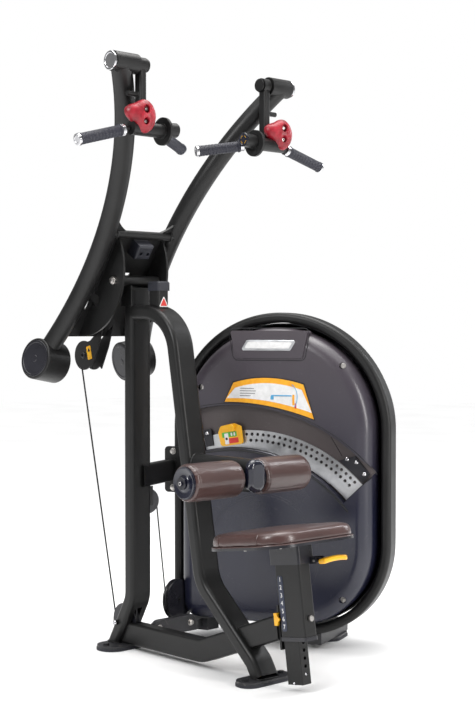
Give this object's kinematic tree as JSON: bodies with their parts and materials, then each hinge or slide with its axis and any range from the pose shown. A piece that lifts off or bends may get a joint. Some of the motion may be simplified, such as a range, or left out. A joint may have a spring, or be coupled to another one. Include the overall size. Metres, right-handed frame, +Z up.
{
  "type": "lat pulldown machine",
  "caption": "Lat pulldown machine: counterweighted pivoting arm with swinging hand grips, seat with thigh rollers, and a cable to a rounded weight tower with an arc selector.",
  "frame": {"origin": "centre of the rear foot, on the floor", "axes": "+X to the seated user's right, towards the weight tower; +Y the way the user faces; +Z up"},
  "size_m": [1.255, 1.2091, 1.9558],
  "materials": {
    "cable": "nylon-coated steel cable",
    "chrome": "polished chrome",
    "frame_paint": "matte charcoal powder coat",
    "hold_red": "crimson cast resin",
    "panel": "tinted taupe plastic",
    "plastic": "black moulded plastic",
    "pulley": "glass-filled nylon",
    "quadrant_alu": "brushed silver",
    "rubber": "black moulded rubber",
    "shroud": "satin blue-black moulded plastic",
    "upholstery": "dark brown vinyl",
    "yellow": "yellow moulded plastic"
  },
  "bodies": {
    "frame": {"upright_tube": "frame_paint", "front_tube": "frame_paint", "base_tube": "frame_paint", "foot_plates": "frame_paint", "foot_pads": "rubber", "pivot_housing": "frame_paint", "stop_block": "frame_paint", "stop_bumper": "rubber", "link_tube": "frame_paint", "link_bracket": "frame_paint", "base_link": "frame_paint", "fasteners": "chrome", "roller_arm": "frame_paint", "roller_arm_cap": "plastic", "roller_shaft": "chrome", "seat_post": "frame_paint", "height_pointer": "yellow", "tower_ring": "frame_paint", "tower_base": "frame_paint", "shroud_front": "shroud", "shroud_rear": "shroud", "window_panel": "panel", "weight_quadrant": "quadrant_alu", "quadrant_brackets": "frame_paint", "pulley_mounts": "frame_paint", "cable_lower": "cable", "cable_upper": "cable"},
    "arm": {"arm_tube_left": "frame_paint", "arm_tube_right": "frame_paint", "arm_crossbar": "frame_paint", "arm_back_plate": "frame_paint", "pivot_plates": "frame_paint", "handle_housings": "frame_paint", "housing_caps": "chrome", "arm_bumper": "rubber", "counterweights": "frame_paint", "cable_cheeks": "frame_paint", "pivot_axle": "chrome"},
    "handle_left": {"handle_frame_left": "frame_paint", "handle_grips_left": "rubber", "climbing_hold_left": "hold_red"},
    "handle_right": {"handle_frame_right": "frame_paint", "handle_grips_right": "rubber", "climbing_hold_right": "hold_red"},
    "roller_left": {"roller_pad_left": "upholstery", "roller_core_left": "plastic"},
    "roller_right": {"roller_pad_right": "upholstery", "roller_core_right": "plastic"},
    "seat": {"seat_sleeve": "frame_paint", "sleeve_ring": "plastic", "seat_board": "plastic", "seat_pad": "upholstery"},
    "lever": {"seat_lever": "yellow"},
    "latch": {"latch_pin": "chrome"},
    "rear_wheel": {"rear_pulley": "pulley"},
    "upper_wheel": {"upper_pulley": "pulley"},
    "tower_wheel": {"tower_pulley": "pulley"},
    "carriage": {"selector": "yellow"},
    "weight_arm": {"weight_lever": "frame_paint"},
    "cable_end": {"cable_fitting": "chrome"}
  },
  "joints": [
    {"name": "arm_pull", "type": "hinge", "parent": "frame", "child": "arm", "pos_m": [0, -0.066, 1.268], "axis": [1, 0, 0], "range_deg": [0, 65]},
    {"name": "handle_swing_left", "type": "hinge", "parent": "arm", "child": "handle_left", "pos_m": [-0.265, -0.41266, 1.9243], "axis": [1, 0, 0], "range_deg": [-68, 0]},
    {"name": "handle_swing_right", "type": "hinge", "parent": "arm", "child": "handle_right", "pos_m": [0.265, -0.41266, 1.9243], "axis": [1, 0, 0], "range_deg": [-68, 0]},
    {"name": "roller_spin_left", "type": "hinge", "parent": "frame", "child": "roller_left", "pos_m": [-0.15, -0.6, 0.634], "axis": [1, 0, 0], "continuous": true},
    {"name": "roller_spin_right", "type": "hinge", "parent": "frame", "child": "roller_right", "pos_m": [0.15, -0.6, 0.634], "axis": [1, 0, 0], "continuous": true},
    {"name": "seat_height", "type": "slide", "parent": "frame", "child": "seat", "axis": [0, 0.1392, 0.9903], "range_m": [-0.12, 0.024]},
    {"name": "seat_lever_lift", "type": "hinge", "parent": "seat", "child": "lever", "pos_m": [0, -0.88635, 0.4023], "axis": [1, 0, 0], "range_deg": [-20, 0], "stiffness_Nm_per_rad": 2, "springref_deg": 8.59},
    {"name": "latch_pull", "type": "slide", "parent": "seat", "child": "latch", "axis": [0, -0.9903, 0.1392], "range_m": [0, 0.0121]},
    {"name": "rear_pulley_turn", "type": "hinge", "parent": "frame", "child": "rear_wheel", "pos_m": [0, -0.006, 0.09], "axis": [1, 0, 0], "continuous": true},
    {"name": "upper_pulley_turn", "type": "hinge", "parent": "frame", "child": "upper_wheel", "pos_m": [0.03711, -0.07017, 0.51], "axis": [-0.2149, -0.9766, 0], "continuous": true},
    {"name": "tower_pulley_turn", "type": "hinge", "parent": "frame", "child": "tower_wheel", "pos_m": [0.17452, -0.0714, 0.15113], "axis": [0.237, -0.9704, 0.0472], "continuous": true},
    {"name": "selector_travel", "type": "hinge", "parent": "frame", "child": "carriage", "pos_m": [0.31332, -0.31225, 0.207], "axis": [-0.9198, -0.3923, 0], "range_deg": [-45, 0]},
    {"name": "weight_arm_lift", "type": "hinge", "parent": "frame", "child": "weight_arm", "pos_m": [0.45139, -0.19247, 0.15], "axis": [-0.9198, -0.3923, 0], "range_deg": [0, 35]},
    {"name": "cable_travel", "type": "slide", "parent": "frame", "child": "cable_end", "axis": [0, 0.1925, 0.9813], "range_m": [0, 0.40339], "deforming": ["cable_upper"]}
  ],
  "couplings": [
    {"joint": "cable_travel", "follows": "arm_pull", "m_per_rad": 0.35549},
    {"joint": "weight_arm_lift", "follows": "arm_pull", "ratio": 0.53846},
    {"joint": "rear_pulley_turn", "follows": "arm_pull", "ratio": 6.3398},
    {"joint": "upper_pulley_turn", "follows": "arm_pull", "ratio": 9.3429},
    {"joint": "tower_pulley_turn", "follows": "arm_pull", "ratio": -5.5474},
    {"joint": "latch_pull", "follows": "seat_lever_lift", "m_per_rad": -0.034377}
  ]
}
